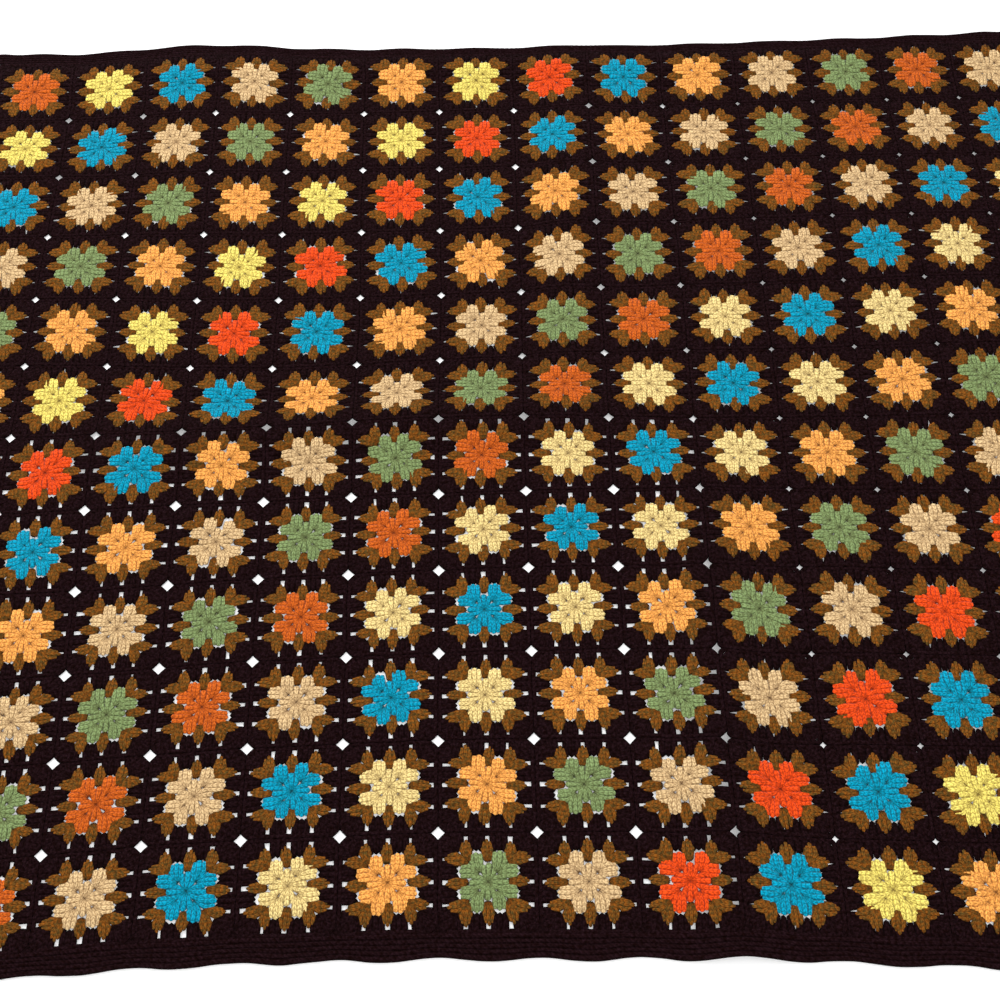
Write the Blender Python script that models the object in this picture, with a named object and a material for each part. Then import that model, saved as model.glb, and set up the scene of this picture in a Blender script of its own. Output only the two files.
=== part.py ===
"""Granny square blanket, lying open on a flat surface.

The cloth is a panel of crocheted squares joined edge to edge, with a crocheted border worked
round it. Units are metres and +Z is up. X runs along the rows of squares and Y across them. The
underside rests on z = 0, and the origin is under the middle of the blanket.
"""

import math
from collections import namedtuple

import bmesh
import bpy

# Driving sizes
SQUARE = 0.100
COLUMNS = 14
ROWS = 12
BORDER_WIDTH = 0.025
PANEL_THICKNESS = 0.0040
BORDER_THICKNESS = 0.0045
SEAM_GAP = 0.0003
SCALLOP = 0.0020
CORNER_ROUNDING = 0.005
CELLS_PER_SQUARE = 3
CELLS_ACROSS_BORDER = 2

# Colours of the yarns, linear
AUBERGINE = (0.012, 0.005, 0.006)
YARN_ROUGHNESS = 0.9

# A ruck is a low ridge of slack cloth. Its crest runs between two points and bows to the left
# of that line at its middle, its foot is at reach from the crest, and it dies away at both ends.
Ruck = namedtuple("Ruck", "from_x from_y to_x to_y bow reach rise")
RUCKS = [
    Ruck(-0.56, -0.03, 0.16, 0.01, bow=0.012, reach=0.060, rise=0.014),
    Ruck(0.02, -0.04, 0.09, 0.70, bow=-0.015, reach=0.075, rise=0.009),
    Ruck(0.20, -0.78, 0.21, -0.02, bow=0.010, reach=0.060, rise=0.011),
    Ruck(-0.98, 0.58, 0.98, 0.58, bow=0.0, reach=0.055, rise=0.010),
]

# A swell is a broad, low place where the cloth doesn't touch the surface.
Swell = namedtuple("Swell", "x y reach_x reach_y rise")
SWELLS = [
    Swell(0.42, 0.25, reach_x=0.42, reach_y=0.45, rise=0.009),
    Swell(0.50, -0.25, reach_x=0.30, reach_y=0.30, rise=0.006),
    Swell(-0.60, 0.48, reach_x=0.24, reach_y=0.20, rise=0.005),
]

# A pull is a place where the squares lie out of line, most at its middle.
Pull = namedtuple("Pull", "x y reach_x reach_y shift_x shift_y")
PULLS = [
    Pull(0.02, -0.22, reach_x=0.50, reach_y=0.45, shift_x=0.0, shift_y=0.012),
    Pull(-0.05, -0.60, reach_x=0.50, reach_y=0.30, shift_x=0.0, shift_y=0.008),
    Pull(-0.62, -0.35, reach_x=0.30, reach_y=0.45, shift_x=0.0, shift_y=-0.011),
    Pull(0.62, -0.50, reach_x=0.45, reach_y=0.65, shift_x=0.0, shift_y=-0.014),
    Pull(-0.17, 0.18, reach_x=0.42, reach_y=0.22, shift_x=0.0, shift_y=-0.014),
    Pull(-0.42, 0.60, reach_x=0.18, reach_y=0.30, shift_x=0.0, shift_y=0.011),
    Pull(0.72, 0.55, reach_x=0.30, reach_y=0.25, shift_x=-0.006, shift_y=0.005),
    Pull(0.15, 0.66, reach_x=0.75, reach_y=0.10, shift_x=0.0, shift_y=-0.012),
]

PANEL_HALF_X = COLUMNS * SQUARE / 2
PANEL_HALF_Y = ROWS * SQUARE / 2


def fade(distance):
    """Fall smoothly from 1 at distance 0 to 0 at distance 1 and beyond."""
    return (1 - distance * distance) ** 2 if distance < 1 else 0.0


def ruck_height(x, y, ruck):
    """Height that a ruck gives the cloth at a point."""
    run_x = ruck.to_x - ruck.from_x
    run_y = ruck.to_y - ruck.from_y
    length = math.hypot(run_x, run_y)
    along = ((x - ruck.from_x) * run_x + (y - ruck.from_y) * run_y) / length ** 2
    if not 0 < along < 1:
        return 0.0
    aside = ((y - ruck.from_y) * run_x - (x - ruck.from_x) * run_y) / length
    taper = math.sin(math.pi * along)
    return ruck.rise * taper * fade(abs(aside - ruck.bow * taper) / ruck.reach)


def lay(x, y):
    """Where a point of the flat cloth comes to lie: its x, its y and the height of its underside."""
    height = sum(ruck_height(x, y, ruck) for ruck in RUCKS)
    for swell in SWELLS:
        height += swell.rise * fade(math.hypot((x - swell.x) / swell.reach_x, (y - swell.y) / swell.reach_y))
    shift_x = 0.0
    shift_y = 0.0
    for pull in PULLS:
        strength = fade(math.hypot((x - pull.x) / pull.reach_x, (y - pull.y) / pull.reach_y))
        shift_x += strength * pull.shift_x
        shift_y += strength * pull.shift_y
    return x + shift_x, y + shift_y, height


def seam_positions(squares, half_length):
    """Positions of the mesh lines along one side, which include every seam between squares."""
    cells = squares * CELLS_PER_SQUARE
    return [-half_length + cell * 2 * half_length / cells for cell in range(cells + 1)]


def yarn_material(name, colour):
    material = bpy.data.materials.new(name)
    material.use_nodes = True
    shader = material.node_tree.nodes["Principled BSDF"]
    shader.inputs["Base Color"].default_value = (*colour, 1.0)
    shader.inputs["Roughness"].default_value = YARN_ROUGHNESS
    shader.inputs["Metallic"].default_value = 0.0
    return material


def make_cloth(name, flat, thickness, colour):
    """Give a flat sheet of quads its thickness, lay it down and add it to the scene."""
    top = bmesh.ops.extrude_face_region(flat, geom=flat.faces[:], use_keep_orig=True)
    top_verts = {item for item in top["geom"] if isinstance(item, bmesh.types.BMVert)}
    for vert in flat.verts:
        x, y, height = lay(vert.co.x, vert.co.y)
        vert.co = (x, y, height + thickness if vert in top_verts else height)
    bmesh.ops.recalc_face_normals(flat, faces=flat.faces[:])
    mesh = bpy.data.meshes.new(name)
    flat.to_mesh(mesh)
    flat.free()
    mesh.materials.append(yarn_material(name, colour))
    mesh.shade_smooth()
    mesh.set_sharp_from_angle(angle=math.radians(40))
    cloth = bpy.data.objects.new(name, mesh)
    bpy.context.scene.collection.objects.link(cloth)
    return cloth


def squares_panel():
    """The joined squares: one sheet, set back from the border by half of the gap."""
    half_x = PANEL_HALF_X - SEAM_GAP / 2
    half_y = PANEL_HALF_Y - SEAM_GAP / 2
    flat = bmesh.new()
    grid = [[flat.verts.new((x, y, 0.0)) for x in seam_positions(COLUMNS, half_x)]
            for y in seam_positions(ROWS, half_y)]
    for lower, upper in zip(grid, grid[1:]):
        for cell in range(len(lower) - 1):
            flat.faces.new((lower[cell], lower[cell + 1], upper[cell + 1], upper[cell]))
    return make_cloth("squares_panel", flat, PANEL_THICKNESS, AUBERGINE)


def border_loop(offset):
    """Points of a loop round the panel, counter-clockwise, at an offset outside its edge."""
    half_x = PANEL_HALF_X + offset
    half_y = PANEL_HALF_Y + offset
    outward = offset / BORDER_WIDTH
    corner_pull = CORNER_ROUNDING * outward

    def side(positions):
        """Along-and-out pairs of one side: the middle of each square stands out a little."""
        yield positions[0] + corner_pull, -corner_pull
        for position in positions[1:-1]:
            phase = 2 * math.pi * (position - positions[0]) / SQUARE
            yield position, -SCALLOP * outward * (1 + math.cos(phase)) / 2

    across_x = seam_positions(COLUMNS, PANEL_HALF_X)
    across_y = seam_positions(ROWS, PANEL_HALF_Y)
    across_x[0], across_x[-1] = -half_x, half_x
    across_y[0], across_y[-1] = -half_y, half_y
    points = [(along, -half_y - out) for along, out in side(across_x)]
    points += [(half_x + out, along) for along, out in side(across_y)]
    points += [(-along, half_y + out) for along, out in side(across_x)]
    points += [(-half_x - out, -along) for along, out in side(across_y)]
    return points


def border():
    """The crocheted band round the panel: rings of cells between its inner and outer edges."""
    flat = bmesh.new()
    offsets = [SEAM_GAP / 2 + (BORDER_WIDTH - SEAM_GAP / 2) * ring / CELLS_ACROSS_BORDER
               for ring in range(CELLS_ACROSS_BORDER + 1)]
    loops = [[flat.verts.new((x, y, 0.0)) for x, y in border_loop(offset)] for offset in offsets]
    for inner, outer in zip(loops, loops[1:]):
        for index in range(len(inner)):
            after = (index + 1) % len(inner)
            flat.faces.new((inner[index], outer[index], outer[after], inner[after]))
    return make_cloth("border", flat, BORDER_THICKNESS, AUBERGINE)


def centre_on_origin(pieces):
    """Move the meshes sideways together, so that the origin is under the middle of their box."""
    corners = [vert.co for piece in pieces for vert in piece.data.vertices]
    middle_x = (min(co.x for co in corners) + max(co.x for co in corners)) / 2
    middle_y = (min(co.y for co in corners) + max(co.y for co in corners)) / 2
    for piece in pieces:
        for vert in piece.data.vertices:
            vert.co.x -= middle_x
            vert.co.y -= middle_y


for old in list(bpy.data.objects):
    bpy.data.objects.remove(old, do_unlink=True)
centre_on_origin([squares_panel(), border()])
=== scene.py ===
"""Granny square blanket, lying open: crocheted squares in four rounds, joined, with a border.

Metres, +Z up. X runs along the rows of squares and Y across them, away from the near edge.
"""

import math
import random
from collections import namedtuple

import bmesh
import bpy
import numpy as np
from mathutils import Matrix, Vector


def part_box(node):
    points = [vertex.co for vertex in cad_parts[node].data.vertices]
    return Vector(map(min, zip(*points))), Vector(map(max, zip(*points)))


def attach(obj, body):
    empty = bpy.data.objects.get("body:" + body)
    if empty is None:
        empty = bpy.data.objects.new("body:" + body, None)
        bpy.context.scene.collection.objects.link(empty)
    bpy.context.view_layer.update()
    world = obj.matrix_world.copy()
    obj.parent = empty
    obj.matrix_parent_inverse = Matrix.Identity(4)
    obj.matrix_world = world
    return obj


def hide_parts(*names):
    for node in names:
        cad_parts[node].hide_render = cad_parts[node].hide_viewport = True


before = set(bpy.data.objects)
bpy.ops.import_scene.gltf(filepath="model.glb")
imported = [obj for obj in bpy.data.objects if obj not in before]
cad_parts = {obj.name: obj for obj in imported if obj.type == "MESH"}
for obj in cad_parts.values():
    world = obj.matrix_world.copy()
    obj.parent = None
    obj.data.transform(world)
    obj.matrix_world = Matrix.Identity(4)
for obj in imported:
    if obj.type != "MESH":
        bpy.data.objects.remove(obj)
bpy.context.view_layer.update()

# ---------------------------------------------------------------------------------------------
# Bright centres. Rounds one and two of every square are worked in one bright yarn, in clusters
# of three trebles: four clusters into the middle ring, then two into each corner space. The
# eight yarns follow one another in diagonals across the blanket.
# ---------------------------------------------------------------------------------------------
SQUARE = 0.100
COLUMNS = 14
ROWS = 12
TUBE_SIDES = 5

# The yarn of each diagonal, counted from the far left corner.
DIAGONALS = (
    "rust lemon teal tan sage apricot lemon scarlet teal apricot tan sage rust tan teal cream"
    " apricot sage tan scarlet teal lemon apricot sage rust"
).split()
SWAPPED_DIAGONAL = 13
SWAPPED_ROWS = range(4, 9)

CENTRE_YARNS = {
    "rust": (0.64, 0.125, 0.012),
    "lemon": (0.895, 0.748, 0.168),
    "teal": (0.000, 0.330, 0.510),
    "tan": (0.742, 0.516, 0.262),
    "sage": (0.225, 0.310, 0.120),
    "apricot": (0.97, 0.424, 0.093),
    "scarlet": (0.86, 0.078, 0.008),
    "cream": (0.885, 0.688, 0.278),
}

# A treble runs from its root through its belly to its tip: millimetres across and outward from
# the middle of the square, for a cluster on the far side.
Treble = namedtuple("Treble", "root belly tip")
# Half widths of a treble at root, belly and tip, half its thickness, and how far the cluster lies
# above the middle of the cloth.
Cluster = namedtuple("Cluster", "trebles half_widths half_thickness lift")
FIRST = Cluster(
    [
        Treble((-0.6, -0.6), (-4.8, 8.8), (-6.8, 17.6)),
        Treble((0.0, -0.8), (0.0, 9.5), (0.0, 20.0)),
        Treble((0.6, -0.6), (4.8, 8.8), (6.8, 17.6)),
    ],
    half_widths=(1.7, 3.0, 3.6), half_thickness=1.7, lift=0.0,
)
SECOND = Cluster(
    [
        Treble((7.0, 7.8), (6.3, 20.0), (6.6, 29.2)),
        Treble((8.6, 8.4), (11.0, 20.8), (10.8, 30.6)),
        Treble((10.2, 9.4), (16.4, 21.0), (14.8, 29.0)),
    ],
    half_widths=(2.1, 3.1, 3.0), half_thickness=1.7, lift=0.25,
)

# How a square's own yarn lies out of true: the inner rounds turn more than the outer ones.
CENTRE_TWIST = math.radians(6)
CLUSTER_LEAN = math.radians(5)
CLUSTER_GROWTH = 0.07
WANDER = 0.0016
WANDER_SIZE = 22.0

# A ruck is a low ridge of slack cloth. Its crest runs between two points and bows to the left
# of that line at its middle, its foot is at reach from the crest, and it dies away at both ends.
Ruck = namedtuple("Ruck", "from_x from_y to_x to_y bow reach rise")
RUCKS = [
    Ruck(-0.56, -0.03, 0.16, 0.01, bow=0.012, reach=0.060, rise=0.014),
    Ruck(0.02, -0.04, 0.09, 0.70, bow=-0.015, reach=0.075, rise=0.009),
    Ruck(0.20, -0.78, 0.21, -0.02, bow=0.010, reach=0.060, rise=0.011),
    Ruck(-0.98, 0.58, 0.98, 0.58, bow=0.0, reach=0.055, rise=0.010),
]

# A swell is a broad, low place where the cloth doesn't touch the surface.
Swell = namedtuple("Swell", "x y reach_x reach_y rise")
SWELLS = [
    Swell(0.42, 0.25, reach_x=0.42, reach_y=0.45, rise=0.009),
    Swell(0.50, -0.25, reach_x=0.30, reach_y=0.30, rise=0.006),
    Swell(-0.60, 0.48, reach_x=0.24, reach_y=0.20, rise=0.005),
]

# A pull is a place where the squares lie out of line, most at its middle.
Pull = namedtuple("Pull", "x y reach_x reach_y shift_x shift_y")
PULLS = [
    Pull(0.02, -0.22, reach_x=0.50, reach_y=0.45, shift_x=0.0, shift_y=0.012),
    Pull(-0.05, -0.60, reach_x=0.50, reach_y=0.30, shift_x=0.0, shift_y=0.008),
    Pull(-0.62, -0.35, reach_x=0.30, reach_y=0.45, shift_x=0.0, shift_y=-0.011),
    Pull(0.62, -0.50, reach_x=0.45, reach_y=0.65, shift_x=0.0, shift_y=-0.014),
    Pull(-0.17, 0.18, reach_x=0.42, reach_y=0.22, shift_x=0.0, shift_y=-0.014),
    Pull(-0.42, 0.60, reach_x=0.18, reach_y=0.30, shift_x=0.0, shift_y=0.011),
    Pull(0.72, 0.55, reach_x=0.30, reach_y=0.25, shift_x=-0.006, shift_y=0.005),
    Pull(0.15, 0.66, reach_x=0.75, reach_y=0.10, shift_x=0.0, shift_y=-0.012),
    Pull(-0.58, 0.48, reach_x=0.22, reach_y=0.24, shift_x=0.006, shift_y=-0.006),
    Pull(-0.56, -0.10, reach_x=0.16, reach_y=0.20, shift_x=-0.005, shift_y=0.0),
    Pull(-0.36, 0.05, reach_x=0.32, reach_y=0.14, shift_x=0.0, shift_y=-0.005),
    Pull(-0.34, -0.58, reach_x=0.45, reach_y=0.42, shift_x=0.0, shift_y=0.006),
    Pull(0.32, 0.14, reach_x=0.26, reach_y=0.26, shift_x=0.0, shift_y=-0.005),
    Pull(-0.12, 0.20, reach_x=0.28, reach_y=0.17, shift_x=0.003, shift_y=0.006),
    Pull(0.25, -0.36, reach_x=0.15, reach_y=0.22, shift_x=0.0, shift_y=-0.005),
]


def fade(distance):
    """Fall smoothly from 1 at distance 0 to 0 at distance 1 and beyond."""
    return np.clip(1 - distance * distance, 0, None) ** 2


def lay(x, y):
    """Where points of the flat cloth come to lie: their x, their y and the height under them."""
    height = np.zeros_like(x)
    for ruck in RUCKS:
        run = np.array([ruck.to_x - ruck.from_x, ruck.to_y - ruck.from_y])
        length = np.linalg.norm(run)
        along = ((x - ruck.from_x) * run[0] + (y - ruck.from_y) * run[1]) / length**2
        aside = ((y - ruck.from_y) * run[0] - (x - ruck.from_x) * run[1]) / length
        taper = np.sin(math.pi * np.clip(along, 0, 1))
        height += ruck.rise * taper * fade((aside - ruck.bow * taper) / ruck.reach)
    for swell in SWELLS:
        height += swell.rise * fade(np.hypot((x - swell.x) / swell.reach_x, (y - swell.y) / swell.reach_y))
    laid_x, laid_y = x.copy(), y.copy()
    for pull in PULLS:
        strength = fade(np.hypot((x - pull.x) / pull.reach_x, (y - pull.y) / pull.reach_y))
        laid_x += strength * pull.shift_x
        laid_y += strength * pull.shift_y
    return laid_x, laid_y, height


# The pulls move the outline of the blanket, so the whole of it settles onto the frame's middle.
BORDER_WIDTH = 0.025
OUTLINE_POINTS = 85
edge_x = COLUMNS * SQUARE / 2 + BORDER_WIDTH
edge_y = ROWS * SQUARE / 2 + BORDER_WIDTH
steps = np.linspace(-1, 1, OUTLINE_POINTS)
level = np.ones(OUTLINE_POINTS)
outline = lay(
    np.concatenate([steps * edge_x, steps * edge_x, level * edge_x, level * -edge_x]),
    np.concatenate([level * edge_y, level * -edge_y, steps * edge_y, steps * edge_y]),
)
cad_low, cad_high = (np.array(corner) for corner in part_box("border"))
SETTLE_X = (cad_low[0] + cad_high[0] - outline[0].min() - outline[0].max()) / 2
SETTLE_Y = (cad_low[1] + cad_high[1] - outline[1].min() - outline[1].max()) / 2


def lay_down(mesh):
    """Lay a flat piece of crochet over the rucks and swells, in the frame's place."""
    points = np.empty(len(mesh.vertices) * 3)
    mesh.vertices.foreach_get("co", points)
    points = points.reshape(-1, 3)
    laid_x, laid_y, height = lay(points[:, 0], points[:, 1])
    laid = np.column_stack([laid_x + SETTLE_X, laid_y + SETTLE_Y, points[:, 2] + height])
    mesh.vertices.foreach_set("co", laid.ravel())
    mesh.update()


# The way round a strand at its top, and how far its rings are turned, as a share of one side.
TOP_OF_STRAND = 0.25
RING_TURN = 0.25


def add_strand(work, strand_map, spine, half_widths, half_heights, sides=TUBE_SIDES):
    """Add a closed, plump length of yarn: poles at the ends of the spine and a ring at each point
    between. The map holds the way round it, from 0 to 1, and the way along it, in metres."""
    spine = [Vector(point) for point in spine]
    along = [0.0]
    for before, after in zip(spine, spine[1:]):
        along.append(along[-1] + (after - before).length)
    rings = []
    for index in range(1, len(spine) - 1):
        forward = (spine[index + 1] - spine[index - 1]).normalized()
        side = forward.cross(Vector((0, 0, 1))).normalized()
        rise = side.cross(forward)
        ring = []
        for step in range(sides):
            angle = 2 * math.pi * (step + RING_TURN) / sides
            offset = side * (half_widths[index - 1] * math.cos(angle))
            offset += rise * (half_heights[index - 1] * math.sin(angle))
            ring.append(work.verts.new(spine[index] + offset))
        rings.append(ring)
    first = work.verts.new(spine[0])
    last = work.verts.new(spine[-1])

    def face(corners, places):
        made = work.faces.new(corners)
        made.smooth = True
        for loop, place in zip(made.loops, places):
            loop[strand_map].uv = place

    for step in range(sides):
        after = (step + 1) % sides
        here, there = (step + RING_TURN) / sides, (step + 1 + RING_TURN) / sides
        middle = (here + there) / 2
        face(
            (first, rings[0][step], rings[0][after]),
            ((middle, 0.0), (here, along[1]), (there, along[1])),
        )
        for level, (lower, upper) in enumerate(zip(rings, rings[1:]), start=1):
            near, far = along[level], along[level + 1]
            face(
                (lower[step], upper[step], upper[after], lower[after]),
                ((here, near), (here, far), (there, far), (there, near)),
            )
        face(
            (last, rings[-1][after], rings[-1][step]),
            ((middle, along[-1]), (there, along[-2]), (here, along[-2])),
        )


# Within a square, sizes are in millimetres.
MM = 0.001
CLOTH_MIDDLE = 2.0
# Where a treble's rings are along it, how thick it is there, and how much it arches.
TREBLE_RINGS = (0.10, 0.50, 0.92)
TREBLE_THICKNESSES = (0.8, 1.0, 0.85)
MIDDLE_TREBLE_ARCH = 0.45
OUTER_TREBLE_ARCH = 0.15


def in_scene(name, mesh):
    """A new object of this mesh, in the scene."""
    made = bpy.data.objects.new(name, mesh)
    bpy.context.scene.collection.objects.link(made)
    return made


def new_template(name, work):
    """Turn a finished bmesh into an object that stitches are copied from."""
    bmesh.ops.recalc_face_normals(work, faces=work.faces[:])
    mesh = bpy.data.meshes.new(name)
    work.to_mesh(mesh)
    work.free()
    return in_scene(name, mesh)


def new_points(name, places, **values):
    """An object of bare points that stitches are worked on, with what each point holds."""
    mesh = bpy.data.meshes.new(name)
    mesh.from_pydata(places, [], [])
    for label, held in values.items():
        mesh.attributes.new(label, "FLOAT", "POINT").data.foreach_set("value", held)
    return in_scene(name, mesh)


def put_away(*templates):
    """Remove objects that stitches were copied from or worked on."""
    for template in templates:
        bpy.data.objects.remove(template, do_unlink=True)


def mirrored(cluster):
    """The same cluster on the left of the side instead of the right."""
    trebles = [
        Treble(*((-across, outward) for across, outward in treble)) for treble in cluster.trebles
    ]
    return cluster._replace(trebles=trebles)


def start_of(cluster):
    """The space that a cluster is worked into, under its middle treble."""
    return Vector((*cluster.trebles[1].root, 0.0)) * MM


def through(treble, step):
    """A point on the curve through a treble's root, belly and tip."""
    root, belly, tip = (Vector(place) for place in treble)
    return (
        root * (2 * (step - 0.5) * (step - 1))
        + belly * (4 * step * (1 - step))
        + tip * (2 * step * (step - 0.5))
    )


def cluster_template(name, cluster):
    """Three trebles worked into one space."""
    work = bmesh.new()
    strand_map = work.loops.layers.uv.new("strand")
    start = start_of(cluster)
    widths = [width * MM for width in cluster.half_widths]
    thicknesses = [cluster.half_thickness * share * MM for share in TREBLE_THICKNESSES]
    for order, treble in enumerate(cluster.trebles):
        arch = MIDDLE_TREBLE_ARCH if order == 1 else OUTER_TREBLE_ARCH
        spine = []
        for step in (0.0, *TREBLE_RINGS, 1.0):
            lift = cluster.lift + arch * math.sin(math.pi * step)
            spine.append(Vector((*through(treble, step), CLOTH_MIDDLE + lift)) * MM - start)
        add_strand(work, strand_map, spine, widths, thicknesses)
    return new_template(name, work)


def starts_template(name, start, sides=range(4)):
    """The place of one cluster on each of these sides of a square; side 0 is the far one."""
    turns = [side * math.pi / 2 for side in sides]
    places = [Matrix.Rotation(turn, 3, "Z") @ start for turn in turns]
    return new_points(name, places, turn=turns)


def yarn_of(column, row):
    """The bright yarn of a square; rows count from the far edge."""
    if column + row == SWAPPED_DIAGONAL and row in SWAPPED_ROWS:
        return "cream"
    return DIAGONALS[column + row]


SQUARE_PLACES = [(column, row) for row in range(ROWS) for column in range(COLUMNS)]
# How far each square's yarn turns, and which way, as a share of the most that it does.
handling = random.Random(12)
TWISTS = {place: handling.uniform(-1, 1) for place in SQUARE_PLACES}

# Where the cloth is drawn flat its stitches stand apart, most near the near left; where it is
# slack, beyond these lines, they close up.
DRAWN_TO_X = 0.20
DRAWN_TO_Y = 0.05
DRAWN_FULLY_Y = -0.15


def middle_of(column, row):
    """The middle of a square of the flat cloth."""
    return (column + 0.5 - COLUMNS / 2) * SQUARE, (ROWS / 2 - row - 0.5) * SQUARE


def slack_at(column, row):
    """How slack the cloth is in a square: 0 drawn flat, 1 closed up."""
    x, y = middle_of(column, row)
    from_side = min(max((DRAWN_TO_X + 0.5 * SQUARE - x) / SQUARE, 0), 1)
    from_far = min(max((DRAWN_TO_Y - y) / (DRAWN_TO_Y - DRAWN_FULLY_Y), 0), 1)
    return 1 - from_side * from_far


def square_points(name, places, most_twist):
    """A point in the middle of each of these squares: how far its yarn turns and how slack it is."""
    return new_points(
        name,
        [(*middle_of(*place), 0.0) for place in places],
        twist=[TWISTS[place] * most_twist for place in places],
        slack=[slack_at(*place) for place in places],
    )


class Socket:
    """An output socket that takes part in sums: each sum adds a Math node to its tree."""

    def __init__(self, tree, socket):
        self.tree, self.socket = tree, socket

    def sum(self, operation, first, second=0.0):
        return self.tree.node("ShaderNodeMath", {"operation": operation}, {0: first, 1: second})

    def __add__(self, other):
        return self.sum("ADD", self, other)

    __radd__ = __add__

    def __mul__(self, other):
        return self.sum("MULTIPLY", self, other)

    __rmul__ = __mul__

    def __sub__(self, other):
        return self.sum("SUBTRACT", self, other)

    def __rsub__(self, other):
        return self.sum("SUBTRACT", other, self)

    def __truediv__(self, other):
        return self.sum("DIVIDE", self, other)

    def __pow__(self, other):
        return self.sum("POWER", self, other)

    def sine(self):
        return self.sum("SINE", self)

    def most(self, other):
        return self.sum("MAXIMUM", self, other)

    def least(self, other):
        return self.sum("MINIMUM", self, other)

    def size(self):
        return self.sum("ABSOLUTE", self)


class Tree:
    """A node tree in the making, for a material or for a piece of crochet."""

    def __init__(self, tree):
        self.tree = tree

    def node(self, kind, settings=None, values=None, output=0):
        """Add a node: its settings first, then its sockets' values or links, and give one output."""
        node = self.tree.nodes.new(kind)
        for name, value in (settings or {}).items():
            setattr(node, name, value)
        for key, value in (values or {}).items():
            named = [item for item in node.inputs if item.name == key and item.enabled]
            socket = node.inputs[key] if isinstance(key, int) else named[0]
            if isinstance(value, Socket):
                self.tree.links.new(value.socket, socket)
            else:
                socket.default_value = value
        if not node.outputs:
            return None
        outputs = [item for item in node.outputs if item.enabled]
        return Socket(self, outputs[output] if isinstance(output, int) else node.outputs[output])


def new_crochet_tree(name, inputs):
    """A geometry tree with named inputs: name to socket type and default value."""
    tree = bpy.data.node_groups.new(name, "GeometryNodeTree")
    tree.interface.new_socket("Geometry", in_out="INPUT", socket_type="NodeSocketGeometry")
    for label, (kind, default) in inputs.items():
        socket = tree.interface.new_socket(label, in_out="INPUT", socket_type=kind)
        if default is not None:
            socket.default_value = default
    tree.interface.new_socket("Geometry", in_out="OUTPUT", socket_type="NodeSocketGeometry")
    return tree


def wandered(tree, geometry, wander):
    """Move finished stitches a little, as hand tension does: neighbours move together."""
    position = tree.node("GeometryNodeInputPosition")
    noise = tree.node(
        "ShaderNodeTexNoise", {"noise_dimensions": "3D"},
        {"Vector": position, "Scale": WANDER_SIZE, "Detail": 1.0}, "Color",
    )
    centred = tree.node("ShaderNodeVectorMath", {"operation": "SUBTRACT"}, {0: noise, 1: (0.5, 0.5, 0.5)})
    level = tree.node("ShaderNodeVectorMath", {"operation": "MULTIPLY"}, {0: centred, 1: (2.0, 2.0, 0.0)})
    offset = tree.node("ShaderNodeVectorMath", {"operation": "SCALE"}, {0: level, "Scale": wander})
    return tree.node("GeometryNodeSetPosition", {}, {"Geometry": geometry, "Offset": offset})


def round_tree():
    """Work one round of clusters on every square: round points on squares, clusters on those."""
    group = new_crochet_tree("work_a_round", {
        "Starts": ("NodeSocketObject", None),
        "Cluster": ("NodeSocketObject", None),
        "Lean": ("NodeSocketFloat", CLUSTER_LEAN),
        "Growth": ("NodeSocketFloat", CLUSTER_GROWTH),
        "Wider": ("NodeSocketFloat", 0.10),
        "Longer": ("NodeSocketFloat", 0.10),
        "Wander": ("NodeSocketFloat", WANDER),
        "Seed": ("NodeSocketInt", 1),
        "Yarn": ("NodeSocketMaterial", None),
    })
    tree = Tree(group)
    inputs = group.nodes.new("NodeGroupInput")

    def given(name):
        return Socket(tree, inputs.outputs[name])

    def held(name):
        return tree.node("GeometryNodeInputNamedAttribute", {"data_type": "FLOAT"}, {"Name": name})

    starts = tree.node("GeometryNodeObjectInfo", {}, {"Object": given("Starts")}, "Geometry")
    turned = tree.node("ShaderNodeCombineXYZ", {}, {"Z": held("twist")})
    on_squares = tree.node("GeometryNodeInstanceOnPoints", {}, {
        "Points": given("Geometry"), "Instance": starts, "Rotation": turned,
    })
    starts = tree.node("GeometryNodeRealizeInstances", {}, {"Geometry": on_squares})
    lean = tree.node("FunctionNodeRandomValue", {"data_type": "FLOAT"}, {
        "Min": 0.0 - given("Lean"), "Max": given("Lean"), "Seed": given("Seed"),
    })
    facing = tree.node("ShaderNodeCombineXYZ", {}, {"Z": held("turn") + held("twist") + lean})
    growth = tree.node("FunctionNodeRandomValue", {"data_type": "FLOAT"}, {
        "Min": 1.0 - given("Growth"), "Max": 1.0 + given("Growth"), "Seed": given("Seed") + 1.0,
    })
    wide = growth * (1.0 + held("slack") * given("Wider"))
    long = growth * (1.0 + held("slack") * given("Longer"))
    scale = tree.node("ShaderNodeCombineXYZ", {}, {"X": wide, "Y": long, "Z": 1.0})
    stitches = tree.node("GeometryNodeObjectInfo", {}, {"Object": given("Cluster")}, "Geometry")
    worked = tree.node("GeometryNodeInstanceOnPoints", {}, {
        "Points": starts, "Instance": stitches, "Rotation": facing, "Scale": scale,
    })
    realized = tree.node("GeometryNodeRealizeInstances", {}, {"Geometry": worked})
    uneven = wandered(tree, realized, given("Wander"))
    finished = tree.node("GeometryNodeSetMaterial", {}, {"Geometry": uneven, "Material": given("Yarn")})
    outputs = group.nodes.new("NodeGroupOutput")
    group.links.new(finished.socket, outputs.inputs["Geometry"])
    return group


def worked_mesh(source, group, values):
    """The plain mesh that a crochet tree gives on an object, with its named inputs set."""
    modifier = source.modifiers.new(group.name, "NODES")
    modifier.node_group = group
    for item in group.interface.items_tree:
        if item.in_out == "INPUT" and item.name in values:
            modifier[item.identifier] = values[item.name]
    bpy.context.view_layer.update()
    evaluated = source.evaluated_get(bpy.context.evaluated_depsgraph_get())
    mesh = bpy.data.meshes.new_from_object(evaluated)
    source.modifiers.remove(modifier)
    return mesh


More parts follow.
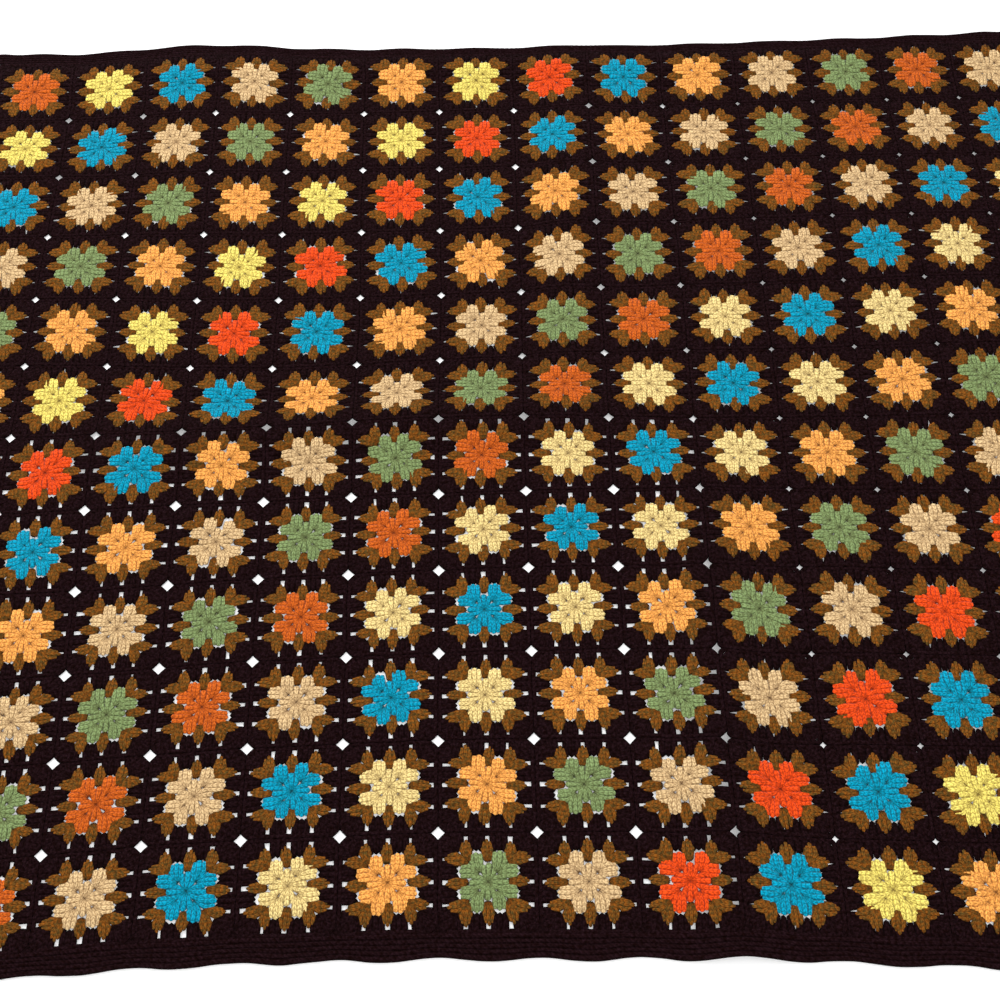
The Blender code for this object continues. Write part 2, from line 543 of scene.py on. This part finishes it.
def joined(name, meshes, material):
    """One object of several meshes, in one yarn."""
    work = bmesh.new()
    for mesh in meshes:
        work.from_mesh(mesh)
    whole = bpy.data.meshes.new(name)
    work.to_mesh(whole)
    work.free()
    whole.materials.clear()
    whole.materials.append(material)
    whole.polygons.foreach_set("material_index", np.zeros(len(whole.polygons), dtype=np.int32))
    return in_scene(name, whole)


# Along a treble: one turn of its strands, the part at its root that is darkened with painted
# shade, and the part over which a painted highlight makes it lighter towards its tip.
STRAND_TURN = 0.0046
ROOT_SHADE = 0.0048
TIP_HIGHLIGHT = 0.020
# How steeply the strands slant, how much they waver, and how narrow the parting between their
# two rows is.
STRAND_SLANT = 3.0
STRAND_WAVER = 1.6
PARTING = 16.0
# The yarn's tone as a share of its colour, darkest and lightest: painted shade between its plies
# and painted light on them, painted shade in the parting and none beside it, painted shade at the
# root and none beyond it, a painted highlight from near the root to the tip, and as one stretch
# of yarn differs from another.
PLY_SHADE_TONES = (0.57, 1.11)
PARTING_SHADE_TONES = (0.48, 1.0)
ROOT_SHADE_TONES = (0.20, 1.0)
TIP_HIGHLIGHT_TONES = (0.88, 1.13)
DRIFT_TONES = (0.92, 1.22)
# How many fibres, waverings of the strands and drifts of the tone there are to a metre.
FIBRES = 900.0
WAVERINGS = 300.0
DRIFTS = 60.0
STRAND_RELIEF = 0.0006


def yarn_material(name, colour, heather=None, side_shade=0.12, fleck=0.34, sheen=0.06, gloss=0.08):
    """Spun yarn. Each treble shows two rows of slanting strands that part along its middle, with
    fine fibres and a tone that drifts. Painted shade darkens it between its plies, down its
    middle where the rows part, at its root, and where it dips to its sides and underneath; a
    painted highlight lightens it towards its tip. Some stretches are spun with the heather colour,
    the side shade is how light the painted shade leaves the sides, and fleck is how much the
    fibres differ."""
    material = bpy.data.materials.new(name)
    material.use_nodes = True
    material.node_tree.nodes.clear()
    tree = Tree(material.node_tree)
    strand = tree.node("ShaderNodeUVMap", {"uv_map": "strand"})
    around = tree.node("ShaderNodeSeparateXYZ", {}, {"Vector": strand}, "X")
    along = tree.node("ShaderNodeSeparateXYZ", {}, {"Vector": strand}, "Y")
    place = tree.node("ShaderNodeTexCoord", {}, {}, "Object")

    def noise(scale, detail):
        return tree.node("ShaderNodeTexNoise", {}, {"Vector": place, "Scale": scale, "Detail": detail}, "Fac")

    def toned(share, tones):
        return share * (tones[1] - tones[0]) + tones[0]

    fibres = noise(FIBRES, 3.0)
    drift = noise(DRIFTS, 2.0)
    wobble = noise(WAVERINGS, 1.0)
    aside = (around - TOP_OF_STRAND).size()
    winding = (along / STRAND_TURN - aside * STRAND_SLANT + wobble * STRAND_WAVER) * (2 * math.pi)
    # The plies of the strands: painted shade in the grooves between them and painted light on them; they also
    # make the bump.
    ply = winding.sine() * 0.5 + 0.5
    # Painted shade down the middle, where the two rows of strands part; the same groove also makes a bump.
    parting_groove_and_shade = toned((aside * PARTING + wobble * 0.5).least(1.0), PARTING_SHADE_TONES)
    # Painted light from above: 1 on top of a strand, falling to painted shade at its sides and underneath.
    lit_on_top = (around * (2 * math.pi)).sine().most(0.0) ** 0.7
    # Painted shade at the root of each treble.
    root_shade = toned((along / ROOT_SHADE).least(1.0), ROOT_SHADE_TONES)
    # A painted highlight that grows towards the tip of each treble.
    tip_highlight = toned((along / TIP_HIGHLIGHT).least(1.0), TIP_HIGHLIGHT_TONES)
    shade = toned(lit_on_top, (side_shade, 1.0)) * toned(ply ** 0.7, PLY_SHADE_TONES) * parting_groove_and_shade * root_shade * tip_highlight
    tone = shade * toned(drift, DRIFT_TONES) * toned(fibres, (1 - fleck, 1 + fleck))
    tint = tree.node("ShaderNodeCombineXYZ", {}, {"X": tone, "Y": tone ** 1.15, "Z": tone ** 1.25})
    spun = (wobble * 3.0 - 1.0).most(0.0).least(1.0)
    dyed = tree.node(
        "ShaderNodeMix", {"data_type": "RGBA"},
        {"Factor": spun, "A": (*colour, 1.0), "B": (*(heather or colour), 1.0)},
    )
    colour_now = tree.node(
        "ShaderNodeMix", {"data_type": "RGBA", "blend_type": "MULTIPLY"},
        {"Factor": 1.0, "A": dyed, "B": tint},
    )
    height = ply * 0.7 + parting_groove_and_shade * 0.8 + fibres * 0.5
    bump = tree.node("ShaderNodeBump", {}, {"Strength": 0.8, "Distance": STRAND_RELIEF, "Height": height})
    surface = tree.node("ShaderNodeBsdfPrincipled", {}, {
        "Base Color": colour_now, "Roughness": 0.9, "Sheen Weight": sheen, "Sheen Roughness": 0.5,
        "Specular IOR Level": gloss, "Normal": bump,
    })
    tree.node("ShaderNodeOutputMaterial", {}, {"Surface": surface})
    return material


work_a_round = round_tree()


def round_of(squares, cluster, seed, yarn, sides=range(4), unevenness=1.0, wider=0.12, longer=0.05):
    """The mesh of one cluster, worked on these sides of each of these squares. It is wider and
    longer by these shares where the cloth is slack."""
    stitches = cluster_template("stitches", cluster)
    starts = starts_template("starts", start_of(cluster), sides)
    mesh = worked_mesh(squares, work_a_round, {
        "Starts": starts, "Cluster": stitches,
        "Lean": CLUSTER_LEAN * unevenness, "Growth": CLUSTER_GROWTH * unevenness,
        "Wider": wider, "Longer": longer, "Seed": seed, "Yarn": yarn,
    })
    put_away(stitches, starts)
    return mesh


for seed, (yarn, colour) in enumerate(CENTRE_YARNS.items(), start=1):
    places = [place for place in SQUARE_PLACES if yarn_of(*place) == yarn]
    squares = square_points("squares_of_" + yarn, places, CENTRE_TWIST)
    material = yarn_material(yarn + "_yarn", colour)
    meshes = [
        round_of(squares, cluster, 10 * seed + order, material)
        for order, cluster in enumerate([FIRST, SECOND, mirrored(SECOND)])
    ]
    put_away(squares)
    centre = joined("centres_" + yarn, meshes, material)
    lay_down(centre.data)
    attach(centre, "root")

# ---------------------------------------------------------------------------------------------
# Brown round. Round three goes round every centre in one brown yarn: a cluster in the space at
# the middle of each side, and two in each corner space. It is made as two halves of the blanket.
# ---------------------------------------------------------------------------------------------
BROWN = (0.100, 0.058, 0.013)
RUSSET_FLECK = (0.265, 0.084, 0.009)
BROWN_TWIST = math.radians(3)
THIRD_MIDDLE = Cluster(
    [
        Treble((-1.5, 18.8), (-4.1, 31.8), (-2.3, 40.2)),
        Treble((0.0, 18.2), (0.0, 32.2), (0.0, 42.8)),
        Treble((1.5, 18.8), (4.1, 31.8), (2.3, 40.2)),
    ],
    half_widths=(2.2, 2.6, 1.8), half_thickness=1.7, lift=0.1,
)
THIRD_CORNER = Cluster(
    [
        Treble((17.4, 18.0), (18.9, 30.6), (20.6, 39.8)),
        Treble((18.4, 18.2), (22.8, 31.6), (22.9, 42.6)),
        Treble((19.4, 18.8), (27.0, 31.2), (25.4, 39.2)),
    ],
    half_widths=(2.4, 2.8, 1.9), half_thickness=1.7, lift=0.3,
)
HALVES = {
    "west": [place for place in SQUARE_PLACES if place[0] < COLUMNS // 2],
    "east": [place for place in SQUARE_PLACES if place[0] >= COLUMNS // 2],
}

brown_yarn = yarn_material("brown_yarn", BROWN, heather=RUSSET_FLECK, fleck=0.40, sheen=0.0, gloss=0.06)
for seed, (half, places) in enumerate(HALVES.items(), start=20):
    squares = square_points("brown_squares_" + half, places, BROWN_TWIST)
    meshes = [
        round_of(squares, cluster, 10 * seed + order, brown_yarn, longer=0.02)
        for order, cluster in enumerate([THIRD_MIDDLE, THIRD_CORNER, mirrored(THIRD_CORNER)])
    ]
    put_away(squares)
    brown_round = joined("brown_round_" + half, meshes, brown_yarn)
    lay_down(brown_round.data)
    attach(brown_round, "root")

# ---------------------------------------------------------------------------------------------
# Dark ground. Round four is worked in dark aubergine yarn, four clusters to a side, spread wide
# so that they fill the edge. A chain closes the edge of the square and cuts across its corners,
# which leaves a diamond hole where four squares meet. It is made as two halves of the blanket.
# ---------------------------------------------------------------------------------------------
DARK = (0.0062, 0.0010, 0.0008)
PLUM_FLECK = (0.0150, 0.0050, 0.0070)
# Where the cloth is drawn flat, small windows stay open over the tips of the clusters inside.
DRAWN_SIDE = Cluster(
    [
        Treble((5.4, 28.6), (5.8, 39.2), (5.7, 48.6)),
        Treble((11.4, 29.8), (11.5, 40.5), (11.5, 48.8)),
        Treble((17.4, 28.6), (17.2, 39.2), (17.3, 48.6)),
    ],
    half_widths=(3.3, 3.9, 3.8), half_thickness=1.6, lift=-0.3,
)
DRAWN_CORNER = Cluster(
    [
        Treble((26.8, 30.6), (28.0, 40.6), (28.6, 48.6)),
        Treble((28.8, 29.6), (33.2, 40.6), (35.0, 48.4)),
        Treble((29.6, 28.4), (37.2, 38.8), (41.6, 46.8)),
    ],
    half_widths=(3.2, 4.3, 4.2), half_thickness=1.6, lift=-0.3,
)
# Where it is slack the same clusters spread until they meet; thin slits stay open at the left
# and right sides, where the cloth is pulled a little.
SLACK_SIDE = Cluster(
    [
        Treble((5.6, 28.6), (4.6, 39.6), (3.4, 48.6)),
        Treble((11.3, 30.0), (11.5, 40.5), (11.5, 48.8)),
        Treble((17.0, 28.6), (18.4, 39.6), (19.8, 48.6)),
    ],
    half_widths=(3.0, 3.9, 4.9), half_thickness=1.6, lift=-0.3,
)
SLIT_SIDE = SLACK_SIDE._replace(
    trebles=[
        Treble((5.6, 28.6), (5.1, 39.6), (4.4, 48.6)),
        Treble((11.3, 30.0), (11.5, 40.5), (11.5, 48.8)),
        Treble((17.0, 28.6), (17.9, 39.6), (18.7, 48.6)),
    ],
)
SLACK_CORNER = DRAWN_CORNER._replace(
    trebles=[
        Treble((26.8, 30.6), (26.9, 40.6), (26.0, 48.6)),
        Treble((28.8, 29.6), (33.0, 40.6), (34.4, 48.4)),
        Treble((29.6, 28.4), (37.4, 39.0), (42.4, 47.2)),
    ],
    half_widths=(3.2, 4.3, 4.9),
)
SLIT_CORNER = SLACK_CORNER._replace(
    trebles=[
        Treble((26.8, 30.6), (27.3, 40.6), (27.4, 48.6)),
        Treble((28.8, 29.6), (33.0, 40.6), (35.0, 48.4)),
        Treble((29.6, 28.4), (37.4, 39.0), (42.4, 47.2)),
    ],
)
# The edge chain: how far out it lies, half its width, its bumps, how wide it stays between them
# and how high it rises there, how far it runs on past them and turns in, its thickness as a
# share of its width, and where its corner strands start and how far in they lie.
EDGE_OUT = 47.9
EDGE_RADIUS = 2.8
EDGE_BUMPS = 18
EDGE_WAIST = 0.9
EDGE_RIPPLE = 0.2
EDGE_TAIL = 2.2
EDGE_TURN_IN = 0.9
EDGE_FLATNESS = 0.6
CORNER_START = 6.0
CORNER_STRANDS = (0.0, 2.6)
# How far the edge chain cuts off the corners of a square: drawn flat, slack, and, towards the
# right, slackest.
DRAWN_CORNER_CUT = 5.2
SLACK_CORNER_CUT = 3.3
CLOSED_CORNER_CUT = 1.6

dark_yarn = yarn_material(
    "dark_yarn", DARK, heather=PLUM_FLECK, side_shade=0.40, fleck=0.70, sheen=0.0, gloss=0.04,
)


def edge_chain_template(name, corner_cut):
    """The chain along one edge of a square, bumpy with its stitches, and two strands across one
    corner."""
    work = bmesh.new()
    strand_map = work.loops.layers.uv.new("strand")
    corner = EDGE_OUT - corner_cut
    spine = [Vector((-corner - EDGE_TAIL, EDGE_OUT - EDGE_TURN_IN, CLOTH_MIDDLE))]
    for step in range(EDGE_BUMPS + 1):
        along = (corner - 0.8) * (2 * step / EDGE_BUMPS - 1)
        spine.append(Vector((along, EDGE_OUT, CLOTH_MIDDLE + EDGE_RIPPLE * (step % 2))))
    spine.append(Vector((corner + EDGE_TAIL, EDGE_OUT - EDGE_TURN_IN, CLOTH_MIDDLE)))
    radii = [EDGE_RADIUS * MM * (EDGE_WAIST if step % 2 else 1.0) for step in range(EDGE_BUMPS + 1)]
    heights = [EDGE_FLATNESS * radius for radius in radii]
    add_strand(work, strand_map, [point * MM for point in spine], radii, heights, sides=4)
    for inward in CORNER_STRANDS:
        across = [
            (corner - CORNER_START, EDGE_OUT - inward * 0.4),
            (corner - 0.6, EDGE_OUT - inward * 0.4 - 0.1),
            (EDGE_OUT - corner_cut / 2 - 0.35 - inward * 0.6,) * 2,
            (EDGE_OUT - inward * 0.4 - 0.1, corner - 0.6),
            (EDGE_OUT - inward * 0.4, corner - CORNER_START),
        ]
        spine = [Vector((*place, CLOTH_MIDDLE)) * MM for place in across]
        radii = (EDGE_RADIUS * MM,) * 3
        heights = (EDGE_FLATNESS * EDGE_RADIUS * MM,) * 3
        add_strand(work, strand_map, spine, radii, heights, sides=4)
    return new_template(name, work)


def ground_meshes(places, seed, clusters, corner_cut):
    """Round four of these squares: each cluster with the sides that it is worked on, and the edge."""
    squares = square_points("dark_squares", places, 0.0)
    meshes = [
        round_of(squares, cluster, 10 * seed + order, dark_yarn, sides, unevenness=0.6, wider=0.0, longer=0.0)
        for order, (cluster, sides) in enumerate(clusters)
    ]
    edge_chain = edge_chain_template("edge_chain", corner_cut)
    sides = starts_template("sides", Vector((0, 0, 0)))
    meshes.append(worked_mesh(squares, work_a_round, {
        "Starts": sides, "Cluster": edge_chain, "Lean": 0.0, "Growth": 0.0, "Wider": 0.0, "Longer": 0.0,
        "Seed": seed, "Yarn": dark_yarn,
    }))
    put_away(squares, edge_chain, sides)
    return meshes


ALL_SIDES, FAR_AND_NEAR, LEFT_AND_RIGHT = range(4), (0, 2), (1, 3)
DRAWN_CLUSTERS = [
    (DRAWN_SIDE, ALL_SIDES), (mirrored(DRAWN_SIDE), ALL_SIDES),
    (DRAWN_CORNER, ALL_SIDES), (mirrored(DRAWN_CORNER), ALL_SIDES),
]
SLACK_CLUSTERS = [
    (SLACK_SIDE, FAR_AND_NEAR), (mirrored(SLACK_SIDE), FAR_AND_NEAR),
    (SLIT_SIDE, LEFT_AND_RIGHT), (mirrored(SLIT_SIDE), LEFT_AND_RIGHT),
    (SLACK_CORNER, FAR_AND_NEAR), (mirrored(SLACK_CORNER), FAR_AND_NEAR),
    (SLIT_CORNER, LEFT_AND_RIGHT), (mirrored(SLIT_CORNER), LEFT_AND_RIGHT),
]
for seed, (half, places) in enumerate(HALVES.items(), start=30):
    drawn = [place for place in places if slack_at(*place) < 0.6]
    closed = [place for place in places if middle_of(*place)[0] > DRAWN_TO_X]
    slack = [place for place in places if place not in drawn and place not in closed]
    meshes = ground_meshes(slack, seed, SLACK_CLUSTERS, SLACK_CORNER_CUT)
    if closed:
        meshes += ground_meshes(closed, seed + 5, SLACK_CLUSTERS, CLOSED_CORNER_CUT)
    meshes += ground_meshes(drawn, seed + 10, DRAWN_CLUSTERS, DRAWN_CORNER_CUT)
    ground = joined("dark_ground_" + half, meshes, dark_yarn)
    lay_down(ground.data)
    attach(ground, "root")
    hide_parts("squares_panel")

# ---------------------------------------------------------------------------------------------
# Joins. The squares are joined with a row of slip stitches in the dark yarn, which stands along
# every seam as a thin raised line.
# ---------------------------------------------------------------------------------------------
# The length of a slip stitch, half its width, how far it slants, how far the row reaches each
# way from the middle of a side, and how high it stands.
SEAM_STITCH = 7.2
SEAM_STITCH_RADIUS = 1.0
SEAM_STITCH_SLANT = math.radians(14)
SEAM_REACH = 41.5
SEAM_HEIGHT = 2.9


def seam_stitch_template(name):
    """One slip stitch, lying along its seam."""
    work = bmesh.new()
    strand_map = work.loops.layers.uv.new("strand")
    spine = [
        Vector((0.0, 0.7 * SEAM_STITCH * step, SEAM_HEIGHT - 0.8 * step**2)) * MM
        for step in (-1, -0.6, 0.6, 1)
    ]
    radii = (SEAM_STITCH_RADIUS * MM,) * 2
    add_strand(work, strand_map, spine, radii, radii, sides=4)
    return new_template(name, work)


def seam_points(name):
    """A point for each slip stitch, along every seam, with which way the seam runs."""
    count = round(2 * SEAM_REACH / SEAM_STITCH)
    points, turns = [], []
    for column, row in SQUARE_PLACES:
        middle_x, middle_y = middle_of(column, row)
        for stitch in range(count):
            along = ((stitch + 0.5) / count * 2 - 1) * SEAM_REACH * MM
            slant = SEAM_STITCH_SLANT * (1 if stitch % 2 else -1)
            if column < COLUMNS - 1:
                points.append((middle_x + SQUARE / 2, middle_y + along, 0.0))
                turns.append(slant)
            if row < ROWS - 1:
                points.append((middle_x + along, middle_y - SQUARE / 2, 0.0))
                turns.append(math.pi / 2 + slant)
    return new_points(name, points, turn=turns)


ONE_MIDDLE = [(0.0, 0.0, 0.0)]
blanket_middle = new_points("blanket_middle", ONE_MIDDLE)
seam_stitch = seam_stitch_template("seam_stitch")
seams = seam_points("seam_points")
joins = joined("joins", [worked_mesh(blanket_middle, work_a_round, {
    "Starts": seams, "Cluster": seam_stitch, "Lean": 0.0, "Growth": 0.05, "Seed": 401, "Yarn": dark_yarn,
})], dark_yarn)
lay_down(joins.data)
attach(joins, "root")
put_away(blanket_middle, seam_stitch, seams)

# ---------------------------------------------------------------------------------------------
# Border. Five rounds of short, dense stitches in the dark yarn are worked round the joined
# squares, each into the one before, so that they lie as ridges along the edge.
# ---------------------------------------------------------------------------------------------
BORDER_ROUNDS = 5
ROUND_WIDTH = BORDER_WIDTH / BORDER_ROUNDS
BORDER_STITCH = 0.0062
BORDER_CORNER = 0.006
SCALLOP = 0.0035
# A ridge of the border: where it lies across its round and half its width, the first one being
# further in and wider; half its height; how high its middle lies; how plump it stays between two
# stitches; and how much of its width is the same all along, most in the last round.
FIRST_RIDGE_PLACE = 0.30
RIDGE_PLACE = 0.42
FIRST_RIDGE_HALF_WIDTH = 0.0044
RIDGE_HALF_WIDTH = 0.0036
RIDGE_HALF_HEIGHT = 0.0021
RIDGE_MIDDLE = 0.0020
RIDGE_DIP = 0.78
RIDGE_EVENNESS = 0.8
LAST_RIDGE_EVENNESS = 0.97


def border_line(offset, count):
    """Points evenly spaced round the blanket, this far outside the squares, and the way out."""
    straights = [COLUMNS * SQUARE, ROWS * SQUARE, COLUMNS * SQUARE, ROWS * SQUARE]
    straights = [length + 2 * (offset - BORDER_CORNER) for length in straights]
    bend = BORDER_CORNER * math.pi / 2
    line = []
    side, before = 0, 0.0
    for step in range(count):
        way = step / count * (sum(straights) + 4 * bend) - before
        while way > straights[side] + bend:
            way -= straights[side] + bend
            before += straights[side] + bend
            side += 1
        turned = max(way - straights[side], 0.0) / BORDER_CORNER
        half, out = straights[side] / 2, straights[side - 1] / 2
        place = Vector((
            min(way, straights[side]) - half + BORDER_CORNER * math.sin(turned),
            -out - BORDER_CORNER * math.cos(turned),
            0.0,
        ))
        outward = Vector((math.sin(turned), -math.cos(turned), 0.0))
        turn = Matrix.Rotation(side * math.pi / 2, 3, "Z")
        line.append((turn @ place, turn @ outward))
    return line


def add_round(work, strand_map, number):
    """Add one round of the border: a closed ridge, plump at each stitch and dipping between."""
    count = 2 * round(2 * (COLUMNS + ROWS) * SQUARE / BORDER_STITCH)
    place_in_round, half_width, evenness = RIDGE_PLACE, RIDGE_HALF_WIDTH, RIDGE_EVENNESS
    if number == 0:
        place_in_round, half_width = FIRST_RIDGE_PLACE, FIRST_RIDGE_HALF_WIDTH
    if number == BORDER_ROUNDS - 1:
        evenness = LAST_RIDGE_EVENNESS
    line = border_line((number + place_in_round) * ROUND_WIDTH, count)
    rings = []
    for step, (place, outward) in enumerate(line):
        plump = 1.0 if (step + number) % 2 else RIDGE_DIP
        wide = half_width * (evenness + (1 - evenness) * plump)
        up = Vector((0.0, 0.0, RIDGE_HALF_HEIGHT * plump))
        middle = place + Vector((0.0, 0.0, RIDGE_MIDDLE))
        rings.append([
            work.verts.new(corner)
            for corner in (middle + up, middle + outward * wide, middle - up, middle - outward * wide)
        ])
    for step in range(count):
        here, there = rings[step], rings[(step + 1) % count]
        near, far = step * BORDER_STITCH / 2, (step + 1) * BORDER_STITCH / 2
        for corner in range(4):
            after = (corner + 1) % 4
            face = work.faces.new((here[corner], there[corner], there[after], here[after]))
            face.smooth = True
            low, high = (corner + 1) / 4, (corner + 2) / 4
            places = ((low, near), (low, far), (high, far), (high, near))
            for loop, place in zip(face.loops, places):
                loop[strand_map].uv = place


def uneven_tree():
    """Let a piece wander as its neighbours do."""
    group = new_crochet_tree("lie_unevenly", {
        "Wander": ("NodeSocketFloat", WANDER),
        "Yarn": ("NodeSocketMaterial", None),
    })
    tree = Tree(group)
    inputs = group.nodes.new("NodeGroupInput")
    crochet, wander, yarn = (Socket(tree, inputs.outputs[name]) for name in ("Geometry", "Wander", "Yarn"))
    realized = tree.node("GeometryNodeRealizeInstances", {}, {"Geometry": crochet})
    uneven = wandered(tree, realized, wander)
    finished = tree.node("GeometryNodeSetMaterial", {}, {"Geometry": uneven, "Material": yarn})
    outputs = group.nodes.new("NodeGroupOutput")
    group.links.new(finished.socket, outputs.inputs["Geometry"])
    return group


# The longer stitches of the first round: how far the middle one reaches in, how much less each
# one beside it does, and its half widths and half thickness.
FILLER_DEPTH = 10.5
FILLER_STEP = 3.0
FILLER_HALF_WIDTHS = (2.4, 3.0)
FILLER_HALF_THICKNESS = 1.6


def corner_filler_template(name):
    """Five longer stitches of the first round, which reach into the space between two squares."""
    work = bmesh.new()
    strand_map = work.loops.layers.uv.new("strand")
    for across in (-2, -1, 0, 1, 2):
        depth = -FILLER_DEPTH + abs(across) * FILLER_STEP
        spine = [
            Vector((across * wide, outward, CLOTH_MIDDLE - 0.3)) * MM
            for wide, outward in ((0.5, depth), (0.8, depth + 1.5), (3.4, 0.0), (3.8, 2.0))
        ]
        half_widths = [half_width * MM for half_width in FILLER_HALF_WIDTHS]
        add_strand(work, strand_map, spine, half_widths, (FILLER_HALF_THICKNESS * MM,) * 2)
    return new_template(name, work)


def filler_points(name):
    """A point at the border end of every seam and at each corner, turned to face outward."""
    points, turns = [], []
    for side in range(4):
        length, other = (ROWS, COLUMNS) if side % 2 else (COLUMNS, ROWS)
        turn = Matrix.Rotation(side * math.pi / 2, 3, "Z")
        for seam in range(1, length):
            points.append(turn @ Vector(((seam - length / 2) * SQUARE, other * SQUARE / 2, 0.0)))
            turns.append(side * math.pi / 2)
    corner_x = COLUMNS * SQUARE / 2 - 0.0005
    corner_y = ROWS * SQUARE / 2 - 0.0005
    for across, outward in ((1, 1), (-1, 1), (-1, -1), (1, -1)):
        points.append(Vector((across * corner_x, outward * corner_y, 0.0)))
        turns.append(math.atan2(outward, across) - math.pi / 2)
    return new_points(name, points, turn=turns)


def scallop(mesh):
    """Let the border stand out a little at the middle of each square, more towards its edge."""
    points = np.empty(len(mesh.vertices) * 3)
    mesh.vertices.foreach_get("co", points)
    points = points.reshape(-1, 3)
    half = np.array([COLUMNS * SQUARE / 2, ROWS * SQUARE / 2])
    for axis, other in ((0, 1), (1, 0)):
        outward = np.clip((np.abs(points[:, axis]) - half[axis]) / BORDER_WIDTH, 0, 1)
        beside = np.clip((half[other] - np.abs(points[:, other])) / BORDER_WIDTH, 0, 1)
        wave = (1 - np.cos(2 * math.pi * (points[:, other] - half[other]) / SQUARE)) / 2
        points[:, axis] -= np.sign(points[:, axis]) * SCALLOP * outward * beside * (1 - wave)
    mesh.vertices.foreach_set("co", points.ravel())


work = bmesh.new()
strand_map = work.loops.layers.uv.new("strand")
for number in range(BORDER_ROUNDS):
    add_round(work, strand_map, number)
ridges = new_template("ridges", work)
rounds = [worked_mesh(ridges, uneven_tree(), {"Yarn": dark_yarn})]
blanket_middle = new_points("blanket_middle", ONE_MIDDLE)
corner_filler = corner_filler_template("corner_filler")
fillers = filler_points("filler_points")
rounds.append(worked_mesh(blanket_middle, work_a_round, {
    "Starts": fillers, "Cluster": corner_filler, "Seed": 520, "Yarn": dark_yarn,
}))
put_away(blanket_middle, ridges, corner_filler, fillers)
border = joined("border_rounds", rounds, dark_yarn)
scallop(border.data)
lay_down(border.data)
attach(border, "root")
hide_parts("border")

# ---------------------------------------------------------------------------------------------
# Floor, light and camera. The blanket lies on a plain pale floor in an even white light, with
# one large soft lamp on its far side and a weaker one on its near side.
# ---------------------------------------------------------------------------------------------
FLOOR_REACH = 6
floor_corners = [(x * FLOOR_REACH, y * FLOOR_REACH, 0) for x, y in ((-1, -1), (1, -1), (1, 1), (-1, 1))]
floor_mesh = bpy.data.meshes.new("floor")
floor_mesh.from_pydata(floor_corners, [], [(0, 1, 2, 3)])
floor = in_scene("floor", floor_mesh)
floor_finish = bpy.data.materials.new("floor_paper")
floor_finish.use_nodes = True
floor_shader = floor_finish.node_tree.nodes["Principled BSDF"]
floor_shader.inputs["Base Color"].default_value = (0.80, 0.80, 0.80, 1)
floor_shader.inputs["Roughness"].default_value = 0.9
floor_shader.inputs["Emission Color"].default_value = (1, 1, 1, 1)
floor_shader.inputs["Emission Strength"].default_value = 0.32
floor_mesh.materials.append(floor_finish)

world = bpy.data.worlds.new("studio")
world.use_nodes = True
world.node_tree.nodes["Background"].inputs["Color"].default_value = (1, 1, 1, 1)
world.node_tree.nodes["Background"].inputs["Strength"].default_value = 0.85
bpy.context.scene.world = world


def soft_light(name, place, aim, size, power):
    lamp = bpy.data.lights.new(name, "AREA")
    lamp.size = size
    lamp.energy = power
    light = bpy.data.objects.new(name, lamp)
    light.location = place
    light.rotation_euler = (Vector(aim) - Vector(place)).to_track_quat("-Z", "Y").to_euler()
    bpy.context.scene.collection.objects.link(light)


soft_light("far_window", (-1.4, 2.2, 2.4), (0, 0, 0), 1.6, 79)
soft_light("near_fill", (1.2, -1.6, 3.0), (0, 0, 0), 2.5, 28)

VIEW_AIM = Vector((-0.030, -0.100, 0.0))
VIEW_DISTANCE = 1.702
VIEW_ELEVATION = math.radians(60.2)
VIEW_ROLL = math.radians(-1.27)
VIEW_LENS = 53.7

camera_data = bpy.data.cameras.new("camera")
camera_data.sensor_width = 36
camera_data.lens = VIEW_LENS
camera = bpy.data.objects.new("camera", camera_data)
turned = Matrix.Rotation(math.pi / 2 - VIEW_ELEVATION, 4, "X") @ Matrix.Rotation(VIEW_ROLL, 4, "Z")
backed_off = Vector((0, -math.cos(VIEW_ELEVATION), math.sin(VIEW_ELEVATION))) * VIEW_DISTANCE
camera.matrix_world = Matrix.Translation(VIEW_AIM + Vector((SETTLE_X, SETTLE_Y, 0)) + backed_off) @ turned
bpy.context.scene.collection.objects.link(camera)
bpy.context.scene.camera = camera
bpy.context.scene.view_settings.view_transform = "Standard"
